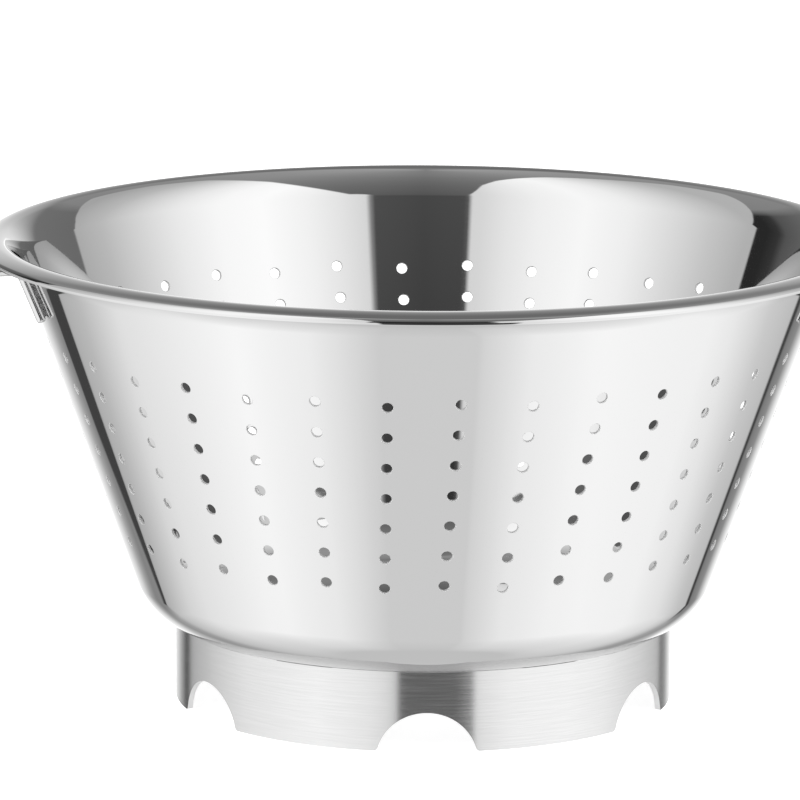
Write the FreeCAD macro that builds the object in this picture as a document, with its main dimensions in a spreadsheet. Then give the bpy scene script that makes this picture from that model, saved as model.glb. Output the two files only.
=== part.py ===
import FreeCAD, Part
import math
import os
import Sketcher
from FreeCAD import Placement, Rotation, Vector

# Colander of polished steel sheet on a notched foot ring, with two bent rod handles.
# Millimetres and degrees. +Z is up, the origin is on the table under the bowl's centre,
# and the handles lie on the X axis.

doc = FreeCAD.newDocument("colander")

# Driving sizes: alias, value, what it is
SIZES = [
    ("height", 160, "table to the crest of the lip"),
    ("mouth_radius", 140, "inner wall line carried up to the crest's level"),
    ("wall_angle", 19.7, "lean of the wall from upright"),
    ("sheet", 1, "thickness of the bowl's sheet"),
    ("flare_bend", 20, "radius of the flare at the wall's top, on the upper skin"),
    ("flare_turn", 30, "how far the flare turns outward"),
    ("crest_bend", 5, "radius over the crest, on the upper skin"),
    ("lip_fall", 19, "slope of the lip below level"),
    ("lip_width", 4, "straight width of the lip along its slope"),
    ("edge_bend", 2, "radius of the turned-down edge, on the upper skin"),
    ("floor_height", 26, "table to the underside of the bowl's floor"),
    ("corner_bend", 22.5, "radius from floor to wall, on the outer skin"),
    ("hole_radius", 1.85, "drain holes, wall and floor alike"),
    ("punch_reach", 4, "how far a punch starts and ends clear of the sheet"),
    ("column_pairs", 17, "pairs of hole columns round the wall"),
    ("first_row_drop", 33.8, "crest down to the top row of a high column"),
    ("row_pitch", 11.5, "hole spacing down a column"),
    ("column_drop", 1.3, "how much lower every second column starts"),
    ("column_slant", 2.5, "lean of a column from the wall's steepest line"),
    ("far_turn", 1.5, "turn of the far half of the columns, punched in a second setting"),
    ("floor_pitch", 18, "spacing of the rings of floor holes"),
    ("ring_reach", 7.75, "centre of the corner's bend to the outside of the foot ring"),
    ("ring_wall", 2, "thickness of the foot ring's strip"),
    ("ring_seat", 0.1, "gap between the ring's upper edge and the bowl"),
    ("ring_turn", 1, "turn of the ring about the bowl when welded"),
    ("notch_count", 6, "drain notches in the ring"),
    ("notch_radius", 17, "round of a notch"),
    ("notch_height", 13.4, "table to the top of a notch"),
    ("notch_corner", 1.5, "rounding of the feet between notches"),
    ("ring_weld_leg", 2.5, "leg of the fillet weld inside the ring"),
    ("ring_weld_span", 14, "arc of each stitch of that weld"),
    ("rod_radius", 1.6, "handle rod"),
    ("leg_spread", 17, "angle from the X axis to the middle of each handle leg"),
    ("leg_splay", 20, "lean of a leg from the wall's steepest line, feet apart"),
    ("leg_drop", 16.6, "loop's axis down to the cut end of a leg"),
    ("leg_bend", 4, "radius from leg to arm, on the rod's axis"),
    ("leg_round", 1.1, "rounding of the cut end of a leg"),
    ("loop_gap", 2.1, "lower edge of the lip down to the loop"),
    ("grip_reach", 35.6, "edge of the lip out to the grip bar, on the rod's axis"),
    ("loop_bend", 14, "radius from arm to grip bar, on the rod's axis"),
    ("weld_gap", 0.35, "height of the weld seam between rod and wall"),
    ("weld_width", 1.6, "width of that seam"),
    ("weld_inset", 1.5, "end of the seam to the end of the straight leg"),
]

WALL_ROWS = 7
FLOOR_RINGS = 3
FLOOR_STEP = 6
CLOSE = 0.001

sheet = doc.addObject("Spreadsheet::Sheet", "Sizes")
for row, (alias, value, note) in enumerate(SIZES, start=1):
    sheet.set("A%d" % row, alias)
    sheet.set("B%d" % row, str(value))
    sheet.set("C%d" % row, note)
    sheet.setAlias("B%d" % row, alias)
doc.recompute()


def size(alias):
    return float(sheet.get(alias))


# Sketch and body helpers

def origin_feature(body, role):
    for feature in body.Origin.OriginFeatures:
        if feature.Role == role:
            return feature
    raise RuntimeError("no origin feature " + role)


def new_body(label):
    body = doc.addObject("PartDesign::Body", label)
    body.Label = label
    return body


def attach(body, kind, name, support):
    feature = body.newObject(kind, name)
    feature.AttachmentSupport = [(support, "")]
    feature.MapMode = "FlatFace"
    return feature


def new_sketch(body, name, role):
    return attach(body, "Sketcher::SketchObject", name, origin_feature(body, role))


def drive(sketch, formula, *constraint):
    # a dimension of the sketch, held by a formula of the sheet's sizes
    index = sketch.addConstraint(Sketcher.Constraint(*constraint))
    sketch.setExpression("Constraints[%d]" % index, formula)


def fix(sketch, *constraint):
    sketch.addConstraint(Sketcher.Constraint(*constraint))


def line(sketch, start, end):
    return sketch.addGeometry(Part.LineSegment(Vector(*start, 0), Vector(*end, 0)))


def arc(sketch, centre, radius, start, end):
    circle = Part.Circle(Vector(*centre, 0), Vector(0, 0, 1), radius)
    return sketch.addGeometry(Part.ArcOfCircle(circle, start, end))


def beside(point, distance, angle):
    return (point[0] + distance * math.cos(angle), point[1] + distance * math.sin(angle))


def spin(body, name, sketch):
    turned = body.newObject("PartDesign::Revolution", name)
    turned.Profile = sketch
    turned.ReferenceAxis = (sketch, ["V_Axis"])
    turned.Angle = 360
    doc.recompute()
    return turned


def cut(body, name, sketch, formula):
    before = body.Shape.Volume
    pocket = body.newObject("PartDesign::Pocket", name)
    pocket.Profile = sketch
    pocket.setExpression("Length", formula)
    pocket.Refine = False
    doc.recompute()
    if body.Shape.Volume >= before:
        raise RuntimeError(name + " cuts nothing")
    return pocket


def repeat_round(body, name, feature, count, angle="360"):
    before = body.Shape.Volume
    pattern = body.newObject("PartDesign::PolarPattern", name)
    pattern.Originals = [feature]
    pattern.Axis = (origin_feature(body, "Z_Axis"), [""])
    pattern.setExpression("Angle", angle)
    pattern.setExpression("Occurrences", count)
    pattern.Refine = False
    body.Tip = pattern
    doc.recompute()
    if body.Shape.Volume >= before:
        raise RuntimeError(name + " repeats nothing")
    return pattern


# Lines that several pieces share, as formulas for the sketches and as numbers for the code

STEEP = "(Sizes.wall_angle + Sizes.flare_turn)"
CREST_RISE = (
    "(Sizes.flare_bend * (sin%s - sin(Sizes.wall_angle))" % STEEP
    + " + Sizes.crest_bend * (1 - sin%s))" % STEEP
)
CREST_RUN = (
    "(Sizes.flare_bend * (cos(Sizes.wall_angle) - cos%s)" % STEEP
    + " + Sizes.crest_bend * cos%s)" % STEEP
)
CREST_RADIUS = "(Sizes.mouth_radius - %s * tan(Sizes.wall_angle) + %s)" % (CREST_RISE, CREST_RUN)
CORNER_RADIUS = (
    "(Sizes.mouth_radius - (Sizes.height - Sizes.floor_height - Sizes.corner_bend) * tan(Sizes.wall_angle)"
    " + (Sizes.sheet - Sizes.corner_bend) / cos(Sizes.wall_angle))"
)
CORNER_HEIGHT = "(Sizes.floor_height + Sizes.corner_bend)"
RING_RADIUS = "(" + CORNER_RADIUS + " + Sizes.ring_reach)"

lean = math.radians(size("wall_angle"))
steep = lean + math.radians(size("flare_turn"))
fall = math.radians(size("lip_fall"))


def outer_wall(height):
    # radius of the wall's outer skin at a height
    inner = size("mouth_radius") - (size("height") - height) * math.tan(lean)
    return inner + size("sheet") / math.cos(lean)


corner_height = size("floor_height") + size("corner_bend")
corner = (outer_wall(corner_height) - size("corner_bend") / math.cos(lean), corner_height)
ring_radius = corner[0] + size("ring_reach")

# from the wall's end up and out to the crest, over the flare and the crest's own bend
crest_rise = size("flare_bend") * (math.sin(steep) - math.sin(lean))
crest_rise += size("crest_bend") * (1 - math.sin(steep))
crest_run = size("flare_bend") * (math.cos(lean) - math.cos(steep))
crest_run += size("crest_bend") * math.cos(steep)
crest_radius = size("mouth_radius") - crest_rise * math.tan(lean) + crest_run
crest = (crest_radius, size("height") - size("crest_bend"))
flare = beside(crest, size("crest_bend") - size("flare_bend"), math.pi - steep)
lip_start = beside(crest, size("crest_bend"), math.pi / 2 - fall)
lip_end = beside(lip_start, size("lip_width"), -fall)
edge = beside(lip_end, -size("edge_bend"), math.pi / 2 - fall)


# Bowl: one sheet spun to a flat floor, a round corner, a leaning wall that flares at its top,
# and a turned-down lip

def bowl_skin(sketch, corner_bend, flare_bend, crest_bend, edge_bend, lift):
    # one skin of the sheet, from the axis to the lip's edge; lift raises it off the floor's underside
    floor = size("floor_height") + lift
    up_lip = math.pi / 2 - fall

    base = line(sketch, (0, floor), (corner[0], floor))
    turn = arc(sketch, corner, corner_bend, -math.pi / 2, -lean)
    wall = line(sketch, beside(corner, corner_bend, -lean), beside(flare, flare_bend, math.pi - lean))
    sweep = arc(sketch, flare, flare_bend, math.pi - steep, math.pi - lean)
    over = arc(sketch, crest, crest_bend, up_lip, math.pi - steep)
    lip = line(sketch, beside(crest, crest_bend, up_lip), beside(edge, edge_bend, up_lip))
    hem = arc(sketch, edge, edge_bend, 0, up_lip)

    fix(sketch, "PointOnObject", base, 1, -2)
    fix(sketch, "Horizontal", base)
    fix(sketch, "Tangent", base, 2, turn, 1)
    fix(sketch, "Tangent", turn, 2, wall, 1)
    fix(sketch, "Tangent", wall, 2, sweep, 2)
    fix(sketch, "Tangent", sweep, 1, over, 2)
    fix(sketch, "Tangent", over, 1, lip, 1)
    fix(sketch, "Tangent", lip, 2, hem, 2)
    fix(sketch, "Horizontal", hem, 1, hem, 3)
    return base, wall, lip, turn, sweep, over, hem


def make_bowl():
    body = new_body("bowl")
    sketch = new_sketch(body, "BowlSection", "XZ_Plane")
    thick = size("sheet")
    flare_bend = size("flare_bend")
    over_bend = size("crest_bend")
    hem_bend = size("edge_bend")
    outer = bowl_skin(
        sketch, size("corner_bend"), flare_bend - thick, over_bend - thick, hem_bend - thick, 0)
    inner = bowl_skin(sketch, size("corner_bend") - thick, flare_bend, over_bend, hem_bend, thick)
    base, wall, lip, turn, sweep, over, hem = inner
    outer_base = outer[0]
    outer_turn = outer[3]
    outer_over = outer[5]
    outer_hem = outer[6]

    # the two skins run side by side round the same centres
    for outer_bend, inner_bend in zip(outer[3:], inner[3:]):
        fix(sketch, "Coincident", outer_bend, 3, inner_bend, 3)
    start = line(sketch, (0, size("floor_height")), (0, size("floor_height") + thick))
    fix(sketch, "Coincident", start, 1, outer_base, 1)
    fix(sketch, "Coincident", start, 2, base, 1)
    end = line(sketch, beside(edge, hem_bend - thick, 0), beside(edge, hem_bend, 0))
    fix(sketch, "Coincident", end, 1, outer_hem, 1)
    fix(sketch, "Coincident", end, 2, hem, 1)

    drive(sketch, "Sizes.floor_height", "DistanceY", -1, 1, outer_base, 1, size("floor_height"))
    drive(sketch, "Sizes.corner_bend", "Radius", outer_turn, size("corner_bend"))
    drive(sketch, "Sizes.corner_bend - Sizes.sheet", "Radius", turn, size("corner_bend") - thick)
    drive(sketch, "90 - Sizes.wall_angle", "Angle", wall, math.pi / 2 - lean)
    drive(sketch, CREST_RADIUS, "DistanceX", -1, 1, over, 3, crest[0])
    drive(sketch, "Sizes.height - Sizes.crest_bend", "DistanceY", -1, 1, over, 3, crest[1])
    drive(sketch, "Sizes.flare_bend", "Radius", sweep, flare_bend)
    drive(sketch, "Sizes.flare_turn", "Angle", sweep, steep - lean)
    drive(sketch, "Sizes.crest_bend", "Radius", over, over_bend)
    drive(sketch, "Sizes.crest_bend - Sizes.sheet", "Radius", outer_over, over_bend - thick)
    drive(sketch, "-Sizes.lip_fall", "Angle", lip, -fall)
    drive(sketch, "Sizes.lip_width", "Distance", lip, size("lip_width"))
    drive(sketch, "Sizes.edge_bend", "Radius", hem, hem_bend)
    drive(sketch, "Sizes.edge_bend - Sizes.sheet", "Radius", outer_hem, hem_bend - thick)
    spin(body, "BowlSheet", sketch)

    punch_floor(body)
    punch_wall(body, "NearHigh", False, False)
    punch_wall(body, "NearLow", False, True)
    punch_wall(body, "FarHigh", True, False)
    punch_wall(body, "FarLow", True, True)
    return body


def punch_floor(body):
    # one hole in the middle, then rings of 6, 12 and 18
    for ring in range(FLOOR_RINGS + 1):
        sketch = new_sketch(body, "FloorHole%d" % ring, "XY_Plane")
        above = "Sizes.floor_height + Sizes.sheet + Sizes.punch_reach"
        sketch.setExpression("AttachmentOffset.Base.z", above)
        place = ring * size("floor_pitch")
        circle = Part.Circle(Vector(0, -place, 0), Vector(0, 0, 1), size("hole_radius"))
        hole = sketch.addGeometry(circle)
        drive(sketch, "Sizes.hole_radius", "Radius", hole, size("hole_radius"))
        fix(sketch, "PointOnObject", hole, 3, -2)
        if ring == 0:
            fix(sketch, "PointOnObject", hole, 3, -1)
        else:
            drive(sketch, "%d * Sizes.floor_pitch" % ring, "DistanceY", hole, 3, -1, 1, place)
        doc.recompute()
        punched = cut(body, "FloorPunch%d" % ring, sketch, "Sizes.sheet + 2 * Sizes.punch_reach")
        if ring > 0:
            repeat_round(body, "FloorRing%d" % ring, punched, str(ring * FLOOR_STEP))


def punch_wall(body, name, far, low):
    # a column of holes square to the wall, repeated over every second place of the near or far half;
    # the places count round from +X, and the low columns take the odd ones
    pairs = int(size("column_pairs"))
    places = [place for place in range(1, 2 * pairs + 1) if (place < pairs) == far and place % 2 == low]
    turn = "%d * 180 / Sizes.column_pairs - %d * Sizes.far_turn" % (places[0], far)
    plane = attach(body, "PartDesign::Plane", name + "Plane", origin_feature(body, "YZ_Plane"))
    start = places[0] * 180 / pairs - far * size("far_turn")
    plane.AttachmentOffset = Placement(Vector(0, 0, 0), Rotation(Vector(0, 1, 0), start))
    plane.setExpression("AttachmentOffset.Rotation.Angle", turn)

    sketch = attach(body, "Sketcher::SketchObject", name, plane)
    sketch.AttachmentOffset = Placement(Vector(0, 0, 0), Rotation(Vector(1, 0, 0), size("wall_angle")))
    sketch.setExpression("AttachmentOffset.Rotation.Angle", "Sizes.wall_angle")
    sketch.setExpression(
        "AttachmentOffset.Base.y",
        "Sizes.height - Sizes.first_row_drop - Sizes.punch_reach * sin(Sizes.wall_angle)",
    )
    sketch.setExpression(
        "AttachmentOffset.Base.z",
        "Sizes.mouth_radius - Sizes.first_row_drop * tan(Sizes.wall_angle)"
        " + Sizes.sheet / cos(Sizes.wall_angle) + Sizes.punch_reach * cos(Sizes.wall_angle)",
    )
    slant = math.tan(math.radians(size("column_slant")))
    for row in range(WALL_ROWS):
        down = row * size("row_pitch") + low * size("column_drop")
        across = row * size("row_pitch") * slant
        circle = Part.Circle(Vector(-across, -down, 0), Vector(0, 0, 1), size("hole_radius"))
        hole = sketch.addGeometry(circle)
        drive(sketch, "Sizes.hole_radius", "Radius", hole, size("hole_radius"))
        if row == 0:
            fix(sketch, "PointOnObject", hole, 3, -2)
        else:
            drive(sketch, "%d * Sizes.row_pitch * tan(Sizes.column_slant)" % row,
                  "DistanceX", hole, 3, -1, 1, across)
        if row == 0 and not low:
            fix(sketch, "PointOnObject", hole, 3, -1)
        else:
            drive(sketch, "%d * Sizes.row_pitch + %d * Sizes.column_drop" % (row, low),
                  "DistanceY", hole, 3, -1, 1, down)
    doc.recompute()
    punched = cut(body, name + "Punch", sketch, "Sizes.sheet + 2 * Sizes.punch_reach")
    repeats = len(places)
    spread = "%d * 360 / Sizes.column_pairs" % (repeats - 1)
    return repeat_round(body, name + "Round", punched, str(repeats), spread)


# Foot ring: a strip bent to a ring, its lower edge notched and its upper edge seated under the bowl

def make_foot_ring():
    body = new_body("foot_ring")
    sketch = new_sketch(body, "RingSection", "XZ_Plane")
    outside = ring_radius
    inside = outside - size("ring_wall")
    seat = size("corner_bend") + size("ring_seat")

    def seat_point(radius):
        across = radius - corner[0]
        return (radius, corner[1] - math.sqrt(seat * seat - across * across))

    base = line(sketch, (inside, 0), (outside, 0))
    outer = line(sketch, (outside, 0), seat_point(outside))
    inner = line(sketch, (inside, 0), seat_point(inside))
    low = math.atan2(seat_point(inside)[1] - corner[1], inside - corner[0])
    high = math.atan2(seat_point(outside)[1] - corner[1], outside - corner[0])
    top = arc(sketch, corner, seat, low, high)
    fix(sketch, "PointOnObject", base, 1, -1)
    fix(sketch, "Horizontal", base)
    fix(sketch, "Vertical", outer)
    fix(sketch, "Vertical", inner)
    fix(sketch, "Coincident", base, 1, inner, 1)
    fix(sketch, "Coincident", base, 2, outer, 1)
    fix(sketch, "Coincident", inner, 2, top, 1)
    fix(sketch, "Coincident", outer, 2, top, 2)
    drive(sketch, RING_RADIUS, "DistanceX", -1, 1, base, 2, outside)
    drive(sketch, "Sizes.ring_wall", "DistanceX", base, 1, base, 2, size("ring_wall"))
    drive(sketch, CORNER_RADIUS, "DistanceX", -1, 1, top, 3, corner[0])
    drive(sketch, CORNER_HEIGHT, "DistanceY", -1, 1, top, 3, corner[1])
    drive(sketch, "Sizes.corner_bend + Sizes.ring_seat", "Radius", top, seat)
    spin(body, "RingStrip", sketch)

    notch = new_sketch(body, "Notch", "XZ_Plane")
    notch.setExpression("AttachmentOffset.Base.z", RING_RADIUS + " + Sizes.punch_reach")
    below = size("notch_height") - size("notch_radius")
    circle = Part.Circle(Vector(0, below, 0), Vector(0, 0, 1), size("notch_radius"))
    opening = notch.addGeometry(circle)
    fix(notch, "PointOnObject", opening, 3, -2)
    drive(notch, "Sizes.notch_radius", "Radius", opening, size("notch_radius"))
    drive(notch, "Sizes.notch_height - Sizes.notch_radius", "DistanceY", -1, 1, opening, 3, below)
    doc.recompute()
    punched = cut(body, "NotchPunch", notch, "Sizes.punch_reach + Sizes.notch_radius + Sizes.ring_wall")
    notched = repeat_round(body, "Notches", punched, "Sizes.notch_count")

    # the sharp corners where a notch runs out at the table
    corners = []
    for number, edge in enumerate(notched.Shape.Edges, start=1):
        ends = [vertex.Point for vertex in edge.Vertexes]
        level = max(abs(point.z) for point in ends)
        reach = abs(math.hypot(ends[0].x, ends[0].y) - math.hypot(ends[-1].x, ends[-1].y))
        if level < CLOSE and reach > size("ring_wall") / 2:
            corners.append("Edge%d" % number)
    rounding = body.newObject("PartDesign::Fillet", "FootCorners")
    rounding.Base = (notched, corners)
    rounding.setExpression("Radius", "Sizes.notch_corner")
    body.Tip = rounding
    body.Placement = Placement(Vector(0, 0, 0), Rotation(Vector(0, 0, 1), size("ring_turn")))
    body.setExpression("Placement.Rotation.Angle", "Sizes.ring_turn")
    doc.recompute()
    return body


# Foot ring welds: short fillet stitches in the corner inside the ring, one over each foot

def make_foot_ring_welds():
    sketch = doc.addObject("Sketcher::SketchObject", "StitchSection")
    sketch.Placement = Placement(Vector(0, 0, 0), Rotation(Vector(1, 0, 0), 90))
    inside = ring_radius - size("ring_wall")
    leg = size("ring_weld_leg")

    def skin_point(radius):
        across = radius - corner[0]
        return (radius, corner[1] - math.sqrt(size("corner_bend") ** 2 - across * across))

    root = skin_point(inside)
    far = skin_point(inside - leg)
    side = line(sketch, (root[0], root[1] - leg), root)
    face = line(sketch, (root[0], root[1] - leg), far)
    low = math.atan2(far[1] - corner[1], far[0] - corner[0])
    high = math.atan2(root[1] - corner[1], root[0] - corner[0])
    skin = arc(sketch, corner, size("corner_bend"), low, high)
    fix(sketch, "Vertical", side)
    fix(sketch, "Coincident", side, 1, face, 1)
    fix(sketch, "Coincident", side, 2, skin, 2)
    fix(sketch, "Coincident", face, 2, skin, 1)
    drive(sketch, RING_RADIUS + " - Sizes.ring_wall", "DistanceX", -1, 1, side, 2, inside)
    drive(sketch, "Sizes.ring_weld_leg", "DistanceY", side, 1, side, 2, leg)
    drive(sketch, "Sizes.ring_weld_leg", "DistanceX", face, 2, side, 2, leg)
    drive(sketch, CORNER_RADIUS, "DistanceX", -1, 1, skin, 3, corner[0])
    drive(sketch, CORNER_HEIGHT, "DistanceY", -1, 1, skin, 3, corner[1])
    drive(sketch, "Sizes.corner_bend", "Radius", skin, size("corner_bend"))
    doc.recompute()

    stitches = []
    count = int(size("notch_count"))
    for number in range(count):
        stitch = doc.addObject("Part::Revolution", "Stitch%d" % number)
        stitch.Source = sketch
        stitch.Axis = Vector(0, 0, 1)
        stitch.Symmetric = True
        stitch.Solid = True
        stitch.setExpression("Angle", "Sizes.ring_weld_span")
        stitch.Placement = Placement(Vector(0, 0, 0), Rotation(Vector(0, 0, 1), 360 * number / count))
        stitches.append(stitch)
    welds = doc.addObject("Part::Compound", "foot_ring_welds")
    welds.Links = stitches
    # a stitch sits halfway between two notches
    welds.Placement = Placement(Vector(0, 0, 0), Rotation(Vector(0, 0, 1), 1))
    welds.setExpression("Placement.Rotation.Angle", "Sizes.ring_turn - 90 + 180 / Sizes.notch_count")
    doc.recompute()
    return welds


# Handles: a rod bent to a loop under the lip, its two legs turned down along the wall

loop_height = edge[1] - size("loop_gap") - size("rod_radius")
loop_reach = edge[0] + size("edge_bend") + size("grip_reach")
rod_lift = size("weld_gap") + size("rod_radius")


def around(radius, height, angle):
    return Vector(radius * math.cos(angle), radius * math.sin(angle), height)


def leg_frame(mirror):
    # the wall under a leg's middle; the frame's own X runs down the leg and its Z out of the wall
    height = loop_height - size("leg_drop") / 2
    spot = around(outer_wall(height), height, math.radians(mirror * size("leg_spread")))
    turned = Rotation(Vector(0, 0, 1), mirror * size("leg_spread"))
    out = turned * Rotation(Vector(0, 1, 0), 90 + size("wall_angle"))
    return Placement(spot, out * Rotation(Vector(0, 0, 1), mirror * size("leg_splay")))


def leg_points(mirror):
    # along the rod's axis: the cut end, both ends of the bend, and the bend's middle
    frame = leg_frame(mirror)
    centre = frame.multVec(Vector(0, 0, rod_lift))
    up = frame.Rotation.multVec(Vector(-1, 0, 0))
    knee = centre + up * ((loop_height - centre.z) / up.z)
    outward = Vector(knee.x, knee.y, 0).normalize()
    turn = up.getAngle(outward)
    setback = size("leg_bend") * math.tan(turn / 2)
    inside = (outward - up).normalize()
    foot = knee - up * (size("leg_drop") / up.z)
    head = knee - up * setback
    middle = knee + inside * (size("leg_bend") / math.cos(turn / 2) - size("leg_bend"))
    return foot, head, middle, knee + outward * setback


def make_handle(label, half_turn):
    arm_start = leg_points(1)[3]
    spread = math.atan2(arm_start.y, arm_start.x)
    bow_turn = math.pi / 2 + spread
    setback = size("loop_bend") * math.tan(bow_turn / 2)
    arm_end = loop_reach / math.cos(spread) - setback
    bar_end = loop_reach * math.tan(spread) - setback
    bow = loop_reach - size("loop_bend")

    def half(mirror):
        # one leg, its bend and its arm, then the bend to the grip bar
        leg_foot, leg_head, bend_middle, arm_begin = leg_points(mirror)
        arm_stop = around(arm_end, loop_height, mirror * spread)
        bar_stop = Vector(loop_reach, mirror * bar_end, loop_height)
        bow_middle = Vector(
            bow + size("loop_bend") * math.cos(bow_turn / 2),
            mirror * (bar_end + size("loop_bend") * math.sin(bow_turn / 2)),
            loop_height,
        )
        edges = [
            Part.LineSegment(leg_foot, leg_head).toShape(),
            Part.Arc(leg_head, bend_middle, arm_begin).toShape(),
            Part.LineSegment(arm_begin, arm_stop).toShape(),
            Part.Arc(arm_stop, bow_middle, bar_stop).toShape(),
        ]
        return edges, leg_foot, bar_stop

    first, foot, near = half(-1)
    second, far_foot, far = half(1)
    bar = Part.LineSegment(near, far).toShape()
    path = doc.addObject("Part::Feature", label + "_path")
    path.Shape = Part.Wire(first + [bar] + second[::-1])

    section = doc.addObject("Part::Circle", label + "_section")
    section.setExpression("Radius", "Sizes.rod_radius")
    up_leg = leg_frame(-1).Rotation.multVec(Vector(-1, 0, 0))
    section.Placement = Placement(foot, Rotation(Vector(0, 0, 1), up_leg))

    rod = doc.addObject("Part::Sweep", label + "_rod")
    rod.Sections = [section]
    rod.Spine = (path, ["Edge%d" % number for number in range(1, len(path.Shape.Edges) + 1)])
    rod.Solid = True
    rod.Frenet = False
    doc.recompute()

    # both cut ends are rounded
    ends = []
    for number, rim in enumerate(rod.Shape.Edges, start=1):
        middle_point = rim.BoundBox.Center
        if min(middle_point.distanceToPoint(foot), middle_point.distanceToPoint(far_foot)) < CLOSE:
            ends.append((number, size("leg_round"), size("leg_round")))
    handle = doc.addObject("Part::Fillet", label)
    handle.Base = rod
    handle.Edges = ends
    handle.Placement = Placement(Vector(0, 0, 0), Rotation(Vector(0, 0, 1), half_turn))
    doc.recompute()
    if len(ends) != 2 or len(handle.Shape.Solids) != 1:
        raise RuntimeError(label + " is not one rod with two ends")
    return handle


# Handle welds: a seam under each leg, filling the gap between rod and wall

def make_handle_welds(label, half_turn):
    seams = []
    for side, mirror in (("near", -1), ("far", 1)):
        frame = leg_frame(mirror)
        foot, head = [frame.inverse().multVec(point).x for point in leg_points(mirror)[:2]]
        strip = doc.addObject("Part::Box", "%s_%s_strip" % (label, side))
        strip.Length = foot - head - 2 * size("weld_inset")
        strip.setExpression("Width", "Sizes.weld_width")
        strip.setExpression("Height", "Sizes.weld_gap + Sizes.rod_radius")
        corner_spot = Vector(head + size("weld_inset"), -size("weld_width") / 2, 0)
        strip.Placement = Placement(frame.multVec(corner_spot), frame.Rotation)

        rod = doc.addObject("Part::Cylinder", "%s_%s_rod" % (label, side))
        rod.setExpression("Radius", "Sizes.rod_radius")
        rod.Height = foot - head
        up_leg = frame.Rotation * Rotation(Vector(0, 1, 0), -90)
        rod.Placement = Placement(frame.multVec(Vector(foot, 0, rod_lift)), up_leg)

        seam = doc.addObject("Part::Cut", "%s_%s" % (label, side))
        seam.Base = strip
        seam.Tool = rod
        seams.append(seam)
    welds = doc.addObject("Part::Compound", label)
    welds.Links = seams
    welds.Placement = Placement(Vector(0, 0, 0), Rotation(Vector(0, 0, 1), half_turn))
    doc.recompute()
    return welds


bowl = make_bowl()
foot_ring = make_foot_ring()
foot_ring_welds = make_foot_ring_welds()
right_handle = make_handle("right_handle", 0)
left_handle = make_handle("left_handle", 180)
right_handle_welds = make_handle_welds("right_handle_welds", 0)
left_handle_welds = make_handle_welds("left_handle_welds", 180)
doc.recompute()

# Check and write

NODES = [
    bowl, foot_ring, foot_ring_welds,
    right_handle, left_handle, right_handle_welds, left_handle_welds,
]

for thing in doc.Objects:
    if "Invalid" in thing.State or "Error" in thing.State:
        raise RuntimeError(thing.Name + " did not recompute")
os.makedirs("parts", exist_ok=True)
for node in NODES:
    if node.Shape.isNull() or not node.Shape.isValid():
        raise RuntimeError(node.Label + " has no valid shape")
    node.Shape.exportStep("parts/%s.step" % node.Label)
    print(node.Label, len(node.Shape.Solids), round(node.Shape.Volume, 1), node.Shape.BoundBox)
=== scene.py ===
import math

import bmesh
import bpy
from mathutils import Matrix, Vector

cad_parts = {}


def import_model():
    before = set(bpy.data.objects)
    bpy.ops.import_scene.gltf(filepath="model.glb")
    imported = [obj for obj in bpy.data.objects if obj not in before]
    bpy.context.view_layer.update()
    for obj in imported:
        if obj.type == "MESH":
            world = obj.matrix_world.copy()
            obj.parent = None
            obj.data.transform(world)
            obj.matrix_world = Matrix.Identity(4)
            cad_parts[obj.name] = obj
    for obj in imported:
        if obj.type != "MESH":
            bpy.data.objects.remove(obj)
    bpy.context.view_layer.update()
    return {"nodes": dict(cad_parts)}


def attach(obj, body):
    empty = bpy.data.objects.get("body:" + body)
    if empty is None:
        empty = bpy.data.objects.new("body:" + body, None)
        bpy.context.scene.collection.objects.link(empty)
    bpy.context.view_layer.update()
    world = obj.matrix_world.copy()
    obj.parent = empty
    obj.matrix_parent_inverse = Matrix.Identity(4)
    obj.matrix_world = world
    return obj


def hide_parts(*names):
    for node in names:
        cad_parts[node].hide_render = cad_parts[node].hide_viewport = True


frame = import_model()
scene = bpy.context.scene
mm = 0.001  # lengths below are written in millimetres
print("frame loaded:", sorted(frame["nodes"]))


# small helpers

def linearColour(hexCode):  # sRGB hex to the linear values that shaders take
    parts = [int(hexCode[i:i + 2], 16) / 255 for i in (1, 3, 5)]
    return tuple(c / 12.92 if c <= 0.04045 else ((c + 0.055) / 1.055) ** 2.4 for c in parts) + (1,)


# a node with its settings, values, links and ramp stops; a node given as a value links its first output
def addNode(tree, kind, inputs=None, stops=(), **settings):
    node = tree.nodes.new(kind)
    for name, value in settings.items():
        setattr(node, name, value)
    for name, value in (inputs or {}).items():
        if isinstance(value, bpy.types.Node):
            value = value.outputs[0]
        if isinstance(value, bpy.types.NodeSocket):
            tree.links.new(value, node.inputs[name])
        else:
            node.inputs[name].default_value = value
    for number, (place, level) in enumerate(stops):
        marks = node.color_ramp.elements
        mark = marks[number] if number < 2 else marks.new(place)  # a new ramp has two stops
        mark.position = place
        mark.color = (level, level, level, 1)
    return node


def newMaterial(name):
    material = bpy.data.materials.new(name)
    material.use_nodes = True
    material.node_tree.nodes.clear()
    return material, material.node_tree


def meshPiece(name, bm, *materials):
    mesh = bpy.data.meshes.new(name)
    bm.to_mesh(mesh)
    bm.free()
    piece = bpy.data.objects.new(name, mesh)
    scene.collection.objects.link(piece)
    for material in materials:
        mesh.materials.append(material)
    return piece


def flat(angle, length=1.0):  # a step in the XZ plane, angle from +X towards +Z
    return Vector((length * math.cos(angle), 0, length * math.sin(angle)))


def only(parts, kind):  # the verts, edges or faces among what an operator gives back
    return [part for part in parts if isinstance(part, kind)]


def straight(bm, vert, step):  # draw a profile on by a straight run
    grown = bmesh.ops.extrude_vert_indiv(bm, verts=[vert])["verts"][0]
    grown.co += step
    return grown


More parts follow.
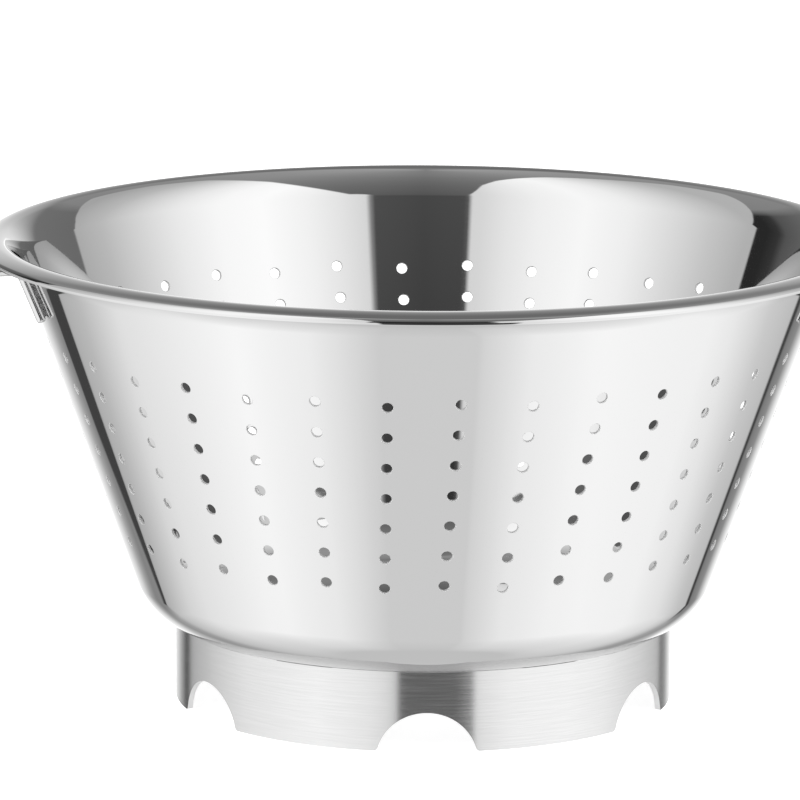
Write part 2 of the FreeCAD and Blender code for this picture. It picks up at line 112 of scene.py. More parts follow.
def bend(bm, vert, centre, angle, steps):  # draw it on by an arc; positive is clockwise seen from the front
    spun = bmesh.ops.spin(bm, geom=[vert], cent=centre, axis=(0, 1, 0), angle=angle, steps=steps)
    return only(spun["geom_last"], bmesh.types.BMVert)[0]


def turnRound(bm, steps):  # a full turn of the profile about the upright axis
    bmesh.ops.spin(bm, geom=bm.verts[:] + bm.edges[:], cent=(0, 0, 0), axis=(0, 0, 1),
                   angle=math.tau, steps=steps, use_merge=True)
    bmesh.ops.remove_doubles(bm, verts=bm.verts[:], dist=0.001 * mm)  # closes the poles
    bmesh.ops.recalc_face_normals(bm, faces=bm.faces[:])


def copies(name, bm, places, *materials):  # one piece of many copies, all in the second material
    single = meshPiece(name, bm, *materials)
    bm = bmesh.new()
    for place in places:
        moved = single.data.copy()
        moved.transform(place)
        bm.from_mesh(moved)
        bpy.data.meshes.remove(moved)
    for face in bm.faces:
        face.material_index = 1
    bm.to_mesh(single.data)
    bm.free()
    return single


def cutAway(piece, cutter):  # subtract the cutter, then drop it
    punch = piece.modifiers.new("cut", "BOOLEAN")
    punch.operation = "DIFFERENCE"
    punch.solver = "MANIFOLD"
    punch.object = cutter
    graph = bpy.context.evaluated_depsgraph_get()
    cutMesh = bpy.data.meshes.new_from_object(piece.evaluated_get(graph))
    piece.modifiers.clear()
    piece.data = cutMesh
    bpy.data.objects.remove(cutter)


# materials

def polishedSteel():
    # stainless sheet, spun and mirror-polished: sharp reflections, faint rings from the lathe, a slow ripple
    material, tree = newMaterial("polishedStainlessSheet")
    place = addNode(tree, "ShaderNodeTexCoord").outputs["Object"]
    around, upward = 1 / (250 * mm), 1 / (0.8 * mm)
    rings = addNode(tree, "ShaderNodeMapping", {"Vector": place, "Scale": (around, around, upward)})
    lines = addNode(tree, "ShaderNodeTexNoise", {"Vector": rings, "Scale": 1, "Detail": 3})
    gloss = addNode(tree, "ShaderNodeMapRange", {
        "Value": lines, "From Min": 0.3, "From Max": 0.7, "To Min": 0.02, "To Max": 0.045})
    ripple = addNode(tree, "ShaderNodeTexNoise", {"Vector": place, "Scale": 1 / (45 * mm), "Detail": 1})
    bump = addNode(tree, "ShaderNodeBump", {"Height": ripple, "Strength": 0.05, "Distance": 0.15 * mm})
    shader = addNode(tree, "ShaderNodeBsdfPrincipled", {
        "Base Color": linearColour("#d6d6d6"), "Metallic": 1, "Roughness": gloss, "Normal": bump})
    addNode(tree, "ShaderNodeOutputMaterial", {"Surface": shader})
    return material


def shearedSteel():
    # stainless sheet cut by a punch: the same metal with a duller, finely scored face
    material, tree = newMaterial("shearedStainlessEdge")
    place = addNode(tree, "ShaderNodeTexCoord").outputs["Object"]
    scores = addNode(tree, "ShaderNodeTexNoise", {"Vector": place, "Scale": 1 / (0.4 * mm), "Detail": 2})
    dull = addNode(tree, "ShaderNodeMapRange", {"Value": scores, "To Min": 0.6, "To Max": 0.85})
    shader = addNode(tree, "ShaderNodeBsdfPrincipled", {
        "Base Color": linearColour("#ececec"), "Metallic": 1, "Roughness": dull})
    addNode(tree, "ShaderNodeOutputMaterial", {"Surface": shader})
    return material


def brushedSteel():
    # stainless strip brushed along its length: fine level hairlines, light and dark, that spread a reflection
    # up and down; they are drawn coarser than real ones, so that they show
    material, tree = newMaterial("brushedStainlessStrip")
    place = addNode(tree, "ShaderNodeTexCoord").outputs["Object"]
    along, upward = 1 / (18.2 * mm), 1 / (0.4 * mm)
    level = addNode(tree, "ShaderNodeMapping", {"Vector": place, "Scale": (along, along, upward)})
    noise = addNode(tree, "ShaderNodeTexNoise", {"Vector": level, "Scale": 1, "Detail": 4, "Roughness": 0.7})
    hairs = addNode(tree, "ShaderNodeMapRange", {"Value": noise, "From Min": 0.3, "From Max": 0.7})
    tone = addNode(tree, "ShaderNodeValToRGB", {"Fac": hairs})
    tone.color_ramp.elements[0].color = linearColour("#d3d3d3")
    tone.color_ramp.elements[1].color = linearColour("#dddddd")
    dull = addNode(tree, "ShaderNodeMapRange", {"Value": hairs, "To Min": 0.19, "To Max": 0.25})
    bump = addNode(tree, "ShaderNodeBump", {"Height": noise, "Strength": 0.06, "Distance": 0.03 * mm})
    tangent = addNode(tree, "ShaderNodeTangent", direction_type="RADIAL", axis="Z")
    shader = addNode(tree, "ShaderNodeBsdfPrincipled", {
        "Base Color": tone, "Metallic": 1, "Roughness": dull, "Anisotropic": 1, "Anisotropic Rotation": 0.25,
        "Tangent": tangent, "Normal": bump})
    addNode(tree, "ShaderNodeOutputMaterial", {"Surface": shader})
    return material


def drawnRod():
    # stainless rod, drawn and polished: a mirror with faint draw marks
    material, tree = newMaterial("polishedStainlessRod")
    place = addNode(tree, "ShaderNodeTexCoord").outputs["Object"]
    marks = addNode(tree, "ShaderNodeTexNoise", {"Vector": place, "Scale": 1 / (3 * mm), "Detail": 2})
    gloss = addNode(tree, "ShaderNodeMapRange", {"Value": marks, "To Min": 0.05, "To Max": 0.12})
    shader = addNode(tree, "ShaderNodeBsdfPrincipled", {
        "Base Color": linearColour("#d6d6d6"), "Metallic": 1, "Roughness": gloss})
    addNode(tree, "ShaderNodeOutputMaterial", {"Surface": shader})
    return material


def weldBead():
    # cleaned weld metal: greyer and lumpy
    material, tree = newMaterial("cleanedWeldBead")
    place = addNode(tree, "ShaderNodeTexCoord").outputs["Object"]
    lumps = addNode(tree, "ShaderNodeTexNoise", {"Vector": place, "Scale": 1 / (1.2 * mm), "Detail": 3})
    bump = addNode(tree, "ShaderNodeBump", {"Height": lumps, "Strength": 0.6, "Distance": 0.3 * mm})
    shader = addNode(tree, "ShaderNodeBsdfPrincipled", {
        "Base Color": linearColour("#a8a8a8"), "Metallic": 1, "Roughness": 0.38, "Normal": bump})
    addNode(tree, "ShaderNodeOutputMaterial", {"Surface": shader})
    return material


steel = polishedSteel()
sheared = shearedSteel()
brushed = brushedSteel()
rodSteel = drawnRod()
weld = weldBead()
print("materials made")


# bowl: one spun sheet with punched holes

bowlSheet = {
    "height": 160 * mm, "mouthRadius": 140 * mm, "wallLean": math.radians(19.7), "sheet": 1 * mm,
    "flareBend": 20 * mm, "flareTurn": math.radians(30), "crestBend": 5 * mm, "lipFall": math.radians(19),
    "lipWidth": 4 * mm, "edgeBend": 2 * mm, "floorHeight": 26 * mm, "cornerBend": 22.5 * mm,
    "lipCrown": math.radians(9), "edgeTuck": math.radians(15),  # in the normals only
    "cornerSteps": 24, "flareSteps": 10, "crestSteps": 14, "edgeSteps": 10, "turnSteps": 272,
}
drainHoles = {
    "radius": 1.85 * mm, "rim": 0.2 * mm, "rimDepth": 0.2 * mm, "reach": 4 * mm, "sides": 24,
    "pairs": 17, "rows": 7, "firstRow": 126.2 * mm, "rowPitch": 11.5 * mm, "lowDrop": 1.3 * mm,
    "slant": math.radians(2.5), "farTurn": math.radians(1.5),
    "floorPitch": 18 * mm, "floorRings": 3, "floorStep": 6,
}
skin = {"sharpAngle": math.radians(25), "facing": 0.94}  # of a cut edge, and of a face that lies in the skin

lean, fall = bowlSheet["wallLean"], bowlSheet["lipFall"]
steep, upLip = lean + bowlSheet["flareTurn"], math.pi / 2 - fall
sheet = bowlSheet["sheet"]


def outerWall(height):  # radius of the wall's outer skin
    inner = bowlSheet["mouthRadius"] - (bowlSheet["height"] - height) * math.tan(lean)
    return inner + sheet / math.cos(lean)


cornerHeight = bowlSheet["floorHeight"] + bowlSheet["cornerBend"]
cornerCentre = Vector((outerWall(cornerHeight) - bowlSheet["cornerBend"] / math.cos(lean), 0, cornerHeight))
crestHeight = bowlSheet["height"] - bowlSheet["crestBend"]
bendGap = bowlSheet["flareBend"] - bowlSheet["crestBend"]
flareHeight = crestHeight - bendGap * math.sin(steep)
flareRadius = bowlSheet["mouthRadius"] - (bowlSheet["height"] - flareHeight) * math.tan(lean) \
    + bowlSheet["flareBend"] / math.cos(lean)
flareCentre = Vector((flareRadius, 0, flareHeight))
crestCentre = flareCentre + flat(math.pi - steep, bendGap)
lipEnd = crestCentre + flat(upLip, bowlSheet["crestBend"]) + flat(-fall, bowlSheet["lipWidth"])
edgeCentre = lipEnd - flat(upLip, bowlSheet["edgeBend"])


def drawSheet(bm):  # the sheet's section: out along the lower skin, back along the upper one
    toWall, outward, overCrest = math.pi / 2 - lean, bowlSheet["flareTurn"], math.pi / 2 - steep + fall
    bends = ("cornerSteps", "flareSteps", "crestSteps", "edgeSteps")
    inCorner, inFlare, inCrest, inEdge = (bowlSheet[key] for key in bends)
    lip = flat(-fall, bowlSheet["lipWidth"])
    wallFoot = cornerCentre + flat(-lean, bowlSheet["cornerBend"])
    wall = flareCentre + flat(math.pi - lean, bowlSheet["flareBend"] - sheet) - wallFoot
    tip = bm.verts.new((0, 0, bowlSheet["floorHeight"]))
    tip = straight(bm, tip, Vector((cornerCentre.x, 0, 0)))
    tip = bend(bm, tip, cornerCentre, -toWall, inCorner)
    tip = straight(bm, tip, wall)
    tip = bend(bm, tip, flareCentre, outward, inFlare)
    tip = bend(bm, tip, crestCentre, overCrest, inCrest)
    tip = straight(bm, tip, lip)
    tip = bend(bm, tip, edgeCentre, upLip, inEdge)
    tip = straight(bm, tip, Vector((sheet, 0, 0)))
    tip = bend(bm, tip, edgeCentre, -upLip, inEdge)
    tip = straight(bm, tip, -lip)
    tip = bend(bm, tip, crestCentre, -overCrest, inCrest)
    tip = bend(bm, tip, flareCentre, -outward, inFlare)
    tip = straight(bm, tip, -wall)
    tip = bend(bm, tip, cornerCentre, toWall, inCorner)
    straight(bm, tip, Vector((-cornerCentre.x, 0, 0)))


def drawPunch(bm):  # one punch, its own Z along the hole and its rim flush with the outer skin
    radius, rim, deep, reach = (drainHoles[key] for key in ("radius", "rim", "rimDepth", "reach"))
    wide = radius + rim
    corners = [(0, -reach), (wide, -reach), (wide, -sheet), (radius, deep - sheet),
               (radius, -deep), (wide, 0), (wide, reach), (0, reach)]
    points = [bm.verts.new((x, 0, z)) for x, z in corners]
    for near, far in zip(points, points[1:]):
        bm.edges.new((near, far))
    turnRound(bm, drainHoles["sides"])


def punchPlaces():
    places = []
    firstRadius = outerWall(drainHoles["firstRow"])
    for column in range(2 * drainHoles["pairs"]):
        turn = math.pi * column / drainHoles["pairs"]
        if 0 < column < drainHoles["pairs"]:  # the far half was punched in a second setting
            turn -= drainHoles["farTurn"]
        out = Matrix.Rotation(turn, 4, "Z")
        for row in range(drainHoles["rows"]):
            down = row * drainHoles["rowPitch"]
            across = down * math.tan(drainHoles["slant"])
            down += drainHoles["lowDrop"] * (column % 2)
            onWall = Matrix.Translation((firstRadius, 0, drainHoles["firstRow"])) \
                @ Matrix.Rotation(math.pi / 2 + lean, 4, "Y") @ Matrix.Translation((down, -across, 0))
            places.append(out @ onWall)
    for ring in range(drainHoles["floorRings"] + 1):
        count = max(1, ring * drainHoles["floorStep"])
        for number in range(count):
            turn = Matrix.Rotation(math.tau * number / count - math.pi / 2, 4, "Z")
            down = Matrix.Translation((ring * drainHoles["floorPitch"], 0, bowlSheet["floorHeight"]))
            places.append(turn @ down @ Matrix.Rotation(math.pi, 4, "X"))
    return places


def sheetNormal(point):  # the section's slope at a point of the sheet, with a crowned lip and a tucked edge
    spot = Vector((math.hypot(point.x, point.y), 0, point.z))
    arms = [spot - centre for centre in (cornerCentre, flareCentre, crestCentre, edgeCentre)]
    fromCorner, fromFlare, fromCrest = arms[:3]
    atCorner, atFlare, atCrest, atEdge = (math.atan2(arm.z, arm.x) for arm in arms)
    crown, crestStart = bowlSheet["lipCrown"], math.pi - steep
    if spot.x > edgeCentre.x and atEdge < upLip:
        over = atEdge / upLip
        side = flat((upLip - crown) * over - bowlSheet["edgeTuck"] * (1 - over))
    elif spot.z > crestCentre.z and atCrest < upLip:
        along = fromCrest.dot(flat(-fall)) / bowlSheet["lipWidth"]
        side = flat(upLip + crown * (1 - 2 * along))
    elif spot.z > flareCentre.z and atFlare < crestStart:
        over = (crestStart - atCrest) / (crestStart - upLip)
        side = flat(crestStart + (upLip + crown - crestStart) * over)
    elif spot.z > flareCentre.z and atFlare < math.pi - lean:
        side = fromFlare.normalized()
    elif spot.x < cornerCentre.x:
        side = flat(-math.pi / 2)
    elif atCorner < -lean:
        side = fromCorner.normalized()
    else:
        side = flat(-lean)
    turn = math.atan2(point.y, point.x)
    return Vector((side.x * math.cos(turn), side.x * math.sin(turn), side.z))


def smoothSkin(mesh, trueNormal):  # exact normals on the turned skins, the mesh's own on cut edges
    mesh.shade_smooth()
    mesh.set_sharp_from_angle(angle=skin["sharpAngle"])
    normals = [Vector()] * len(mesh.loops)  # a zero normal stands for the mesh's own
    for polygon in mesh.polygons:
        for index in polygon.loop_indices:
            exact = trueNormal(mesh.vertices[mesh.loops[index].vertex_index].co)
            facing = exact.dot(polygon.normal)
            if abs(facing) > skin["facing"] and polygon.material_index == 0:
                normals[index] = exact if facing > 0 else -exact
    mesh.normals_split_custom_set(normals)


def makeBowl():
    bm = bmesh.new()
    drawSheet(bm)
    turnRound(bm, bowlSheet["turnSteps"])
    bowl = meshPiece("bowlSheet", bm, steel, sheared)
    bm = bmesh.new()
    drawPunch(bm)
    cutAway(bowl, copies("drainPunches", bm, punchPlaces(), steel, sheared))
    smoothSkin(bowl.data, sheetNormal)
    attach(bowl, "root")
    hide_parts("bowl")
    print("bowl:", len(bowl.data.polygons), "faces")


makeBowl()


# foot ring: a brushed strip with round drain notches

footRing = {
    "reach": 7.75 * mm, "wall": 2 * mm, "seat": 0.1 * mm, "turn": math.radians(1), "notches": 6,
    "notchRadius": 17 * mm, "notchHeight": 13.4 * mm, "notchCorner": 1.5 * mm,
    "seatSteps": 4, "archSteps": 40, "cornerSteps": 6, "turnSteps": 360,
}
ringRadius = cornerCentre.x + footRing["reach"]


def drawStrip(bm):
    seat = bowlSheet["cornerBend"] + footRing["seat"]
    inside, outside = ringRadius - footRing["wall"], ringRadius
    low = -math.acos((inside - cornerCentre.x) / seat)
    high = -math.acos((outside - cornerCentre.x) / seat)
    top = cornerCentre + flat(low, seat)
    tip = first = bm.verts.new((inside, 0, 0))
    tip = straight(bm, tip, Vector((0, 0, top.z)))
    tip = bend(bm, tip, cornerCentre, low - high, footRing["seatSteps"])
    tip = straight(bm, tip, Vector((0, 0, -tip.co.z)))
    bm.edges.new((tip, first))


def drawNotch(bm):  # the notch's outline, with the rounded corners of the feet
    radius, corner, inCorner = footRing["notchRadius"], footRing["notchCorner"], footRing["cornerSteps"]
    centre = Vector((0, 0, footRing["notchHeight"] - radius))
    rise = corner - centre.z
    foot = Vector((math.sqrt((radius + corner) ** 2 - rise ** 2), 0, corner))
    lift = math.asin(rise / (radius + corner))
    tip = first = bm.verts.new((foot.x, 0, -corner))
    tip = straight(bm, tip, Vector((0, 0, corner)))
    tip = bend(bm, tip, foot, math.pi / 2 - lift, inCorner)
    tip = bend(bm, tip, centre, -(math.pi - 2 * lift), footRing["archSteps"])
    tip = bend(bm, tip, Vector((-foot.x, 0, foot.z)), math.pi / 2 - lift, inCorner)
    tip = straight(bm, tip, Vector((0, 0, -corner)))
    bm.edges.new((tip, first))
    return bmesh.ops.contextual_create(bm, geom=bm.edges[:])["faces"]


def ringNormal(point):
    return Vector((point.x, point.y, 0)).normalized()


def makeFootRing():
    bm = bmesh.new()
    drawStrip(bm)
    turnRound(bm, footRing["turnSteps"])
    ring = meshPiece("footRingStrip", bm, brushed, sheared)
    bm = bmesh.new()
    grown = bmesh.ops.extrude_face_region(bm, geom=drawNotch(bm))["geom"]
    bmesh.ops.translate(bm, vec=(0, -ringRadius, 0), verts=only(grown, bmesh.types.BMVert))
    bmesh.ops.translate(bm, vec=(0, -ringRadius / 2, 0), verts=bm.verts[:])
    bmesh.ops.recalc_face_normals(bm, faces=bm.faces[:])
    step = math.tau / footRing["notches"]
    turns = [number * step + footRing["turn"] for number in range(footRing["notches"])]
    places = [Matrix.Rotation(turn, 4, "Z") for turn in turns]
    cutAway(ring, copies("notchPunches", bm, places, brushed, sheared))
    smoothSkin(ring.data, ringNormal)
    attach(ring, "root")
    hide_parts("foot_ring")
    print("foot ring:", len(ring.data.polygons), "faces")


makeFootRing()


# handles: a bent rod on each side, its legs turned down along the wall

handleRod = {
    "radius": 1.6 * mm, "legSpread": math.radians(17), "legSplay": math.radians(20), "legDrop": 16.6 * mm,
    "legBend": 4 * mm, "legRound": 1.1 * mm, "loopGap": 2.1 * mm, "gripReach": 35.6 * mm, "loopBend": 14 * mm,
    "weldGap": 0.35 * mm, "sides": 32, "bendSteps": 16, "roundSteps": 5, "sharpAngle": math.radians(60),
}
loopHeight = edgeCentre.z - handleRod["loopGap"] - handleRod["radius"]
loopReach = edgeCentre.x + bowlSheet["edgeBend"] + handleRod["gripReach"]


def legCorners(mirror):  # foot, knee and the corner of the grip bar, on the rod's axis
    height = loopHeight - handleRod["legDrop"] / 2
    spread = Matrix.Rotation(mirror * handleRod["legSpread"], 4, "Z")
    splay = Matrix.Rotation(mirror * handleRod["legSplay"], 4, "Z")
    outward = Matrix.Translation((outerWall(height), 0, height)) @ Matrix.Rotation(math.pi / 2 + lean, 4, "Y")
    onWall = spread @ outward @ splay
    middle = onWall @ Vector((0, 0, handleRod["weldGap"] + handleRod["radius"]))
    rise = onWall.to_3x3() @ Vector((-1, 0, 0))
    knee = middle + rise * ((loopHeight - middle.z) / rise.z)
    foot = knee - rise * (handleRod["legDrop"] / rise.z)
    corner = Vector((loopReach, loopReach * knee.y / knee.x, loopHeight))
    return [foot, knee, corner]


def roundedPath(corners, bends):  # points along the corners, each inner corner rounded
    points = [corners[0]]
    for before, here, after, radius in zip(corners, corners[1:], corners[2:], bends):
        arriving, leaving = (here - before).normalized(), (after - here).normalized()
        turn = arriving.angle(leaving)
        start = here - arriving * radius * math.tan(turn / 2)
        inward = (leaving - arriving * arriving.dot(leaving)).normalized()
        for step in range(handleRod["bendSteps"] + 1):
            angle = turn * step / handleRod["bendSteps"]
            points.append(start + (arriving * math.sin(angle) + inward * (1 - math.cos(angle))) * radius)
    return points + [corners[-1]]


def roundedEnd(tip, way):  # stations of growing radius from a cut end inward
    radius, edge, steps = handleRod["radius"], handleRod["legRound"], handleRod["roundSteps"]
    stations = []
    for step in range(steps + 1):
        angle = math.pi / 2 * (1 - step / steps)
        stations.append((tip + way * edge * (1 - math.sin(angle)), radius - edge * (1 - math.cos(angle))))
    return stations


def makeHandle(name, node, halfTurn):
    near, far = legCorners(-1), legCorners(1)
    knee, bow = handleRod["legBend"], handleRod["loopBend"]
    path = roundedPath(near + far[::-1], [knee, bow, bow, knee])
    stations = roundedEnd(path[0], (path[1] - path[0]).normalized())
    stations += [(point, handleRod["radius"]) for point in path[1:-1]]
    stations += roundedEnd(path[-1], (path[-2] - path[-1]).normalized())[::-1]
    bm = bmesh.new()
    heading = path[1] - path[0]
    start = Matrix.Translation(path[0]) @ heading.to_track_quat("Z", "Y").to_matrix().to_4x4()
    bmesh.ops.create_circle(bm, segments=handleRod["sides"], radius=stations[0][1], matrix=start)
    foot = rim = bm.edges[:]
    for last, this, following in zip(stations, stations[1:], stations[2:] + stations[-1:]):
        before, here, after = last[0], this[0], following[0]
        grown = bmesh.ops.extrude_edge_only(bm, edges=rim)["geom"]
        rim, verts = only(grown, bmesh.types.BMEdge), only(grown, bmesh.types.BMVert)
        turn = heading.rotation_difference(after - before)
        heading = after - before
        bmesh.ops.translate(bm, vec=here - before, verts=verts)
        bmesh.ops.rotate(bm, cent=here, matrix=turn.to_matrix(), verts=verts)
        bmesh.ops.scale(bm, vec=[this[1] / last[1]] * 3, space=Matrix.Translation(-here), verts=verts)
    for end in (foot, rim):
        bmesh.ops.contextual_create(bm, geom=end)
    bmesh.ops.rotate(bm, matrix=Matrix.Rotation(halfTurn, 3, "Z"), verts=bm.verts[:])
    bmesh.ops.recalc_face_normals(bm, faces=bm.faces[:])
    rod = meshPiece(name, bm, rodSteel)
    rod.data.shade_smooth()
    rod.data.set_sharp_from_angle(angle=handleRod["sharpAngle"])
    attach(rod, "root")
    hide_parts(node)
    print(name + ":", len(rod.data.polygons), "faces")


makeHandle("rightHandleRod", "right_handle", 0)
makeHandle("leftHandleRod", "left_handle", math.pi)


# carried-over welds get their finish

for name in ("foot_ring_welds", "right_handle_welds", "left_handle_welds"):
    node = frame["nodes"][name]
    node.data.materials.clear()
    node.data.materials.append(weld)
print("welds finished")


# studio: white floor and backdrop, an upright light bank on each side, a dark gap between them

studio = {
    "turn": math.radians(0.6),  # the room stands turned a little to the right
    # the banks: their levels, where they start and how steeply their tops rise, by degrees from the camera
    "bankLeft": [(0, 0.9), (18, 0.98), (27, 1.15), (37, 1.28), (52, 1.38), (67, 1.27), (97, 0.82),
                 (112, 0.64)],
    "bankRight": [(0, 0.9), (18, 0.98), (27, 1.15), (37, 1.3), (52, 1.44), (67, 1.38), (82, 1.2), (112, 0.7),
                  (130, 0.53)],
    "gapLeft": [(14.05, 0), (14.35, 1)],
    "gapRight": [(16.8, 0), (17.1, 1)],
    "topLeft": [(15, 2.6), (22, 3.6), (33, 3.7), (77, 2.93), (105, 2.15), (124, 1.7), (132, 1.3), (138, 0.9)],
    "topRight": [(15, 2.3), (24, 1.65), (72, 1.85), (114, 1.8), (128, 1.5), (142, 0.8)],
    # the degrees at which they end, by the sine of the elevation
    "endLeft": [(0.2, 116), (0.28, 114), (0.42, 118), (0.56, 123.5), (0.7, 131)],
    "endRight": [(0.16, 125), (0.19, 124), (0.3, 125.5), (0.45, 129.5), (0.6, 136)],
    # the dark room around them and the backdrop's share, by degrees
    "cornerLeft": [(0, 0.024), (121, 0.03), (127, 0.05), (131, 0.12), (150, 0.2), (165, 0.5)],
    "cornerRight": [(0, 0.024), (123, 0.2), (150, 0.22), (165, 0.5)],
    "ceilingSides": [(0, 0), (45, 0.07), (90, 0.155), (150, 0.2), (168, 0.05), (180, 0)],
    "behind": [(150, 0), (168, 1)],
    # the ceiling and the backdrop by the sine of the elevation
    "ceiling": [(0.45, 0.115), (0.77, 0.17), (0.87, 0.2), (0.94, 0.235), (1, 0.3)],
    "backdrop": [(0, 0.95), (0.17, 0.85), (0.34, 0.58), (0.5, 0.37), (0.64, 0.27), (0.77, 0.2), (0.9, 0.2),
                 (1, 0.3)],
    # the white table as it mirrors the banks, far off and nearer by, by degrees; its darker bands behind at
    # the sides are painted shadow of the bowl on the table
    "farLeft": [(11.3, 0.07), (12.3, 0.98), (25, 1.17), (50, 1.3), (90, 1.15), (139, 0.58), (140, 0.34),
                (148, 0.3), (153, 0.45), (160, 0.8), (180, 1.4)],
    "farRight": [(22.3, 0.07), (23.3, 1.05), (40, 1.23), (70, 1.32), (92, 1.24), (142.4, 0.68), (143, 0.07),
                 (145, 0.07), (145.6, 0.25), (152, 0.33), (160, 0.9), (170, 1.3)],
    "nearLeft": [(17, 0.92), (32, 1.18), (42, 1.32), (68, 1.38), (110, 1.1), (138, 0.72), (145, 0.48),
                 (152, 0.4), (162, 0.7), (180, 0.9)],
    "nearRight": [(19, 0.92), (20, 1.0), (38, 1.3), (60, 1.37), (102, 1.29), (130, 0.98), (138, 0.8),
                  (145, 0.5), (152, 0.4), (162, 0.7), (180, 0.9)],
    # its plain level straight below, and how the mirrored banks fade to it by the sine below the horizon
    "underfoot": 0.765,
    "nearFade": [(0.7, 1), (0.82, 0.62), (0.91, 0.37), (0.94, 0.2), (0.96, 0)],
    # a dark wedge in the mirrored table behind the left bank, painted shadow of the bowl on the table: its
    # level, its start and its end by that sine
    "paintedShadow": 0.07,
    "paintedShadowStart": 139.3,
    "paintedShadowEnd": [(0.38, 147.3), (0.43, 142.5), (0.465, 139)],
    # where one thing gives way to the next, as a sine, and how soft each change is
    "horizon": 0.035, "horizonSoft": 0.015, "ceilingStart": 0.485, "ceilingSoft": 0.045,
    "nearStart": 0.5, "nearSoft": 0.04, "sideSoft": 0.01, "topSoft": 0.02, "endSoft": 0.001,
    "even": 0.6,  # the level that lights matt things
}


def onScale(degrees):  # the place of an angle on the radial gradient, which is 0.5 at the camera and 1 behind
    return 0.5 + degrees / 360


